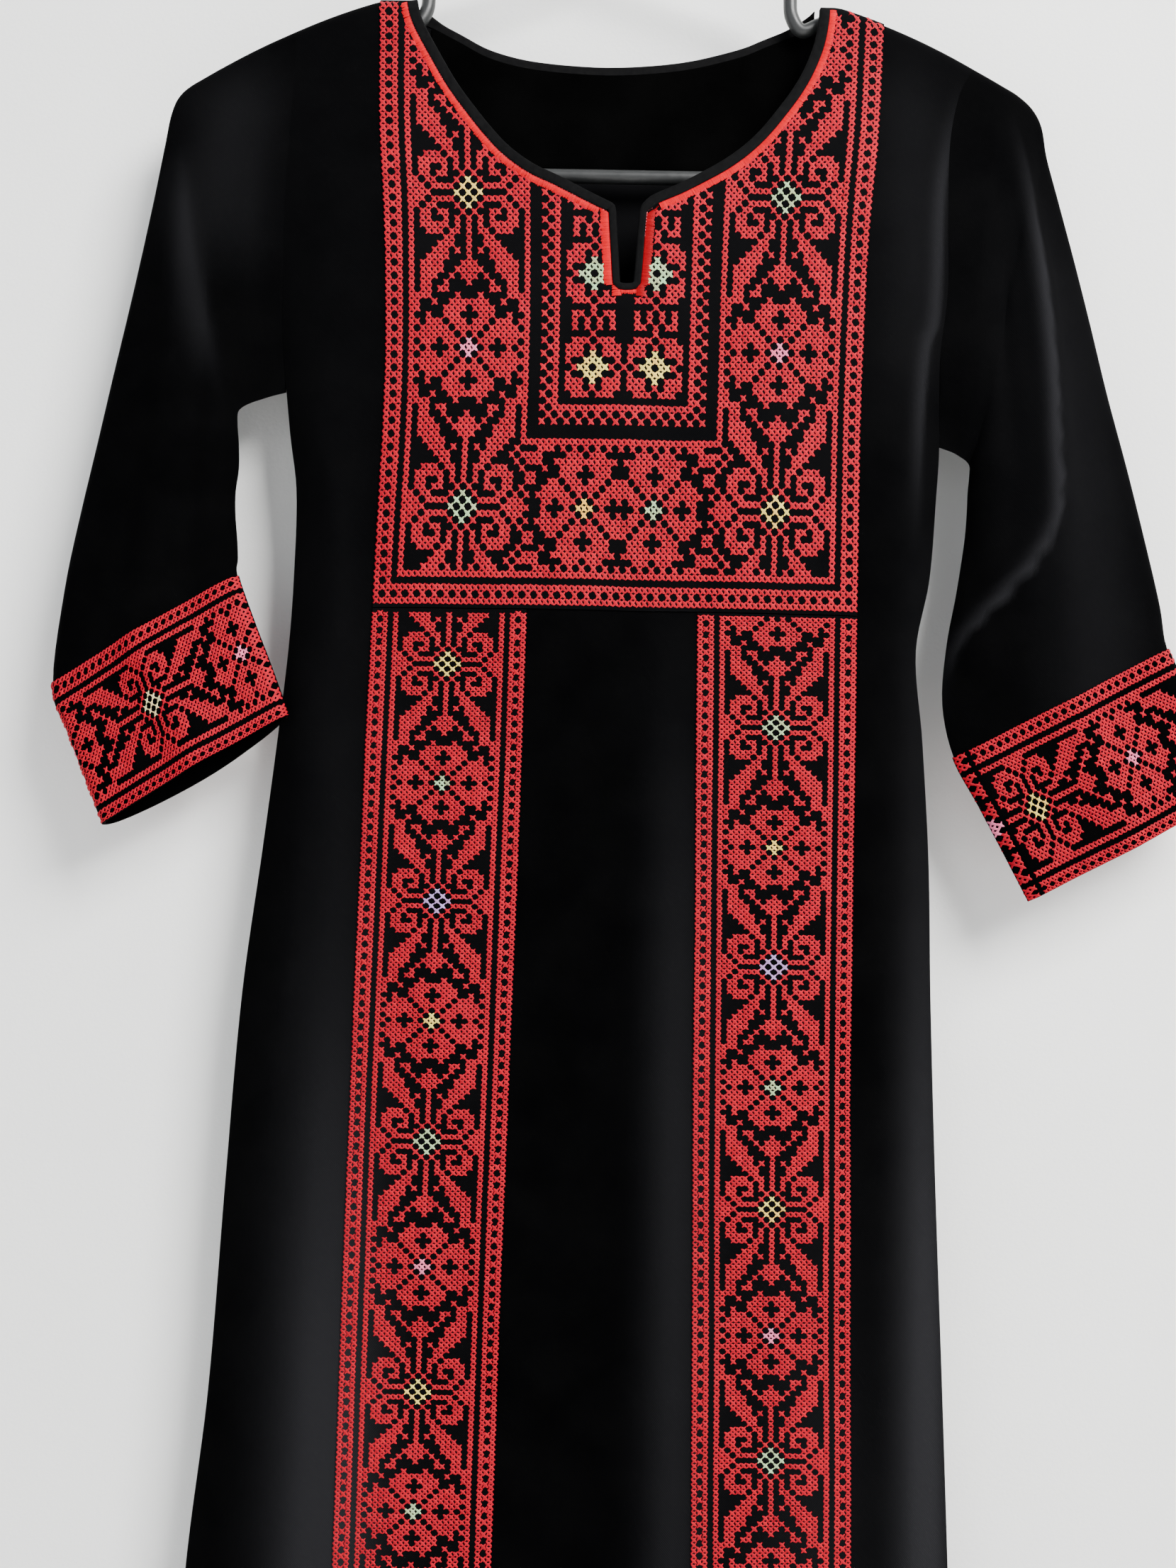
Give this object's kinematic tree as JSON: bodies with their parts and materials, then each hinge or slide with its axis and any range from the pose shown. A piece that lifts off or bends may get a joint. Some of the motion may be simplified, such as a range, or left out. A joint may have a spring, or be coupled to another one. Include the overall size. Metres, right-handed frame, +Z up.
{
  "type": "palestinian thobe dress on a coat hanger",
  "caption": "Black thobe dress with red cross-stitched chest panel, skirt bands and cuffs, hanging flat on a tubular coat hanger.",
  "frame": {"origin": "the inside top of the hanger's hook, where a rail or wall hook holds it", "axes": "+Z up along the hook's stem, +X to the viewer's right across the dress, +Y back to the wall"},
  "size_m": [0.5829, 0.0617, 1.197],
  "materials": {
    "black_crepe": "soft black crepe with a fine twill line and a faint sheen",
    "red_cross_stitch": "dense red cross-stitch on black cloth",
    "black_binding": "smooth black bias binding",
    "hanger_grey": "satin dark grey moulded plastic"
  },
  "bodies": {
    "root": {"front_body": "black_crepe", "back_body": "black_crepe", "sleeve_left": "black_crepe", "sleeve_right": "black_crepe", "chest_panel": "red_cross_stitch", "skirt_band_left": "red_cross_stitch", "skirt_band_right": "red_cross_stitch", "cuff_left": "red_cross_stitch", "cuff_right": "red_cross_stitch", "neck_binding": "black_binding", "back_neck_binding": "black_binding", "back_neck_facing": "black_crepe", "hanger": "hanger_grey"}
  },
  "joints": []
}
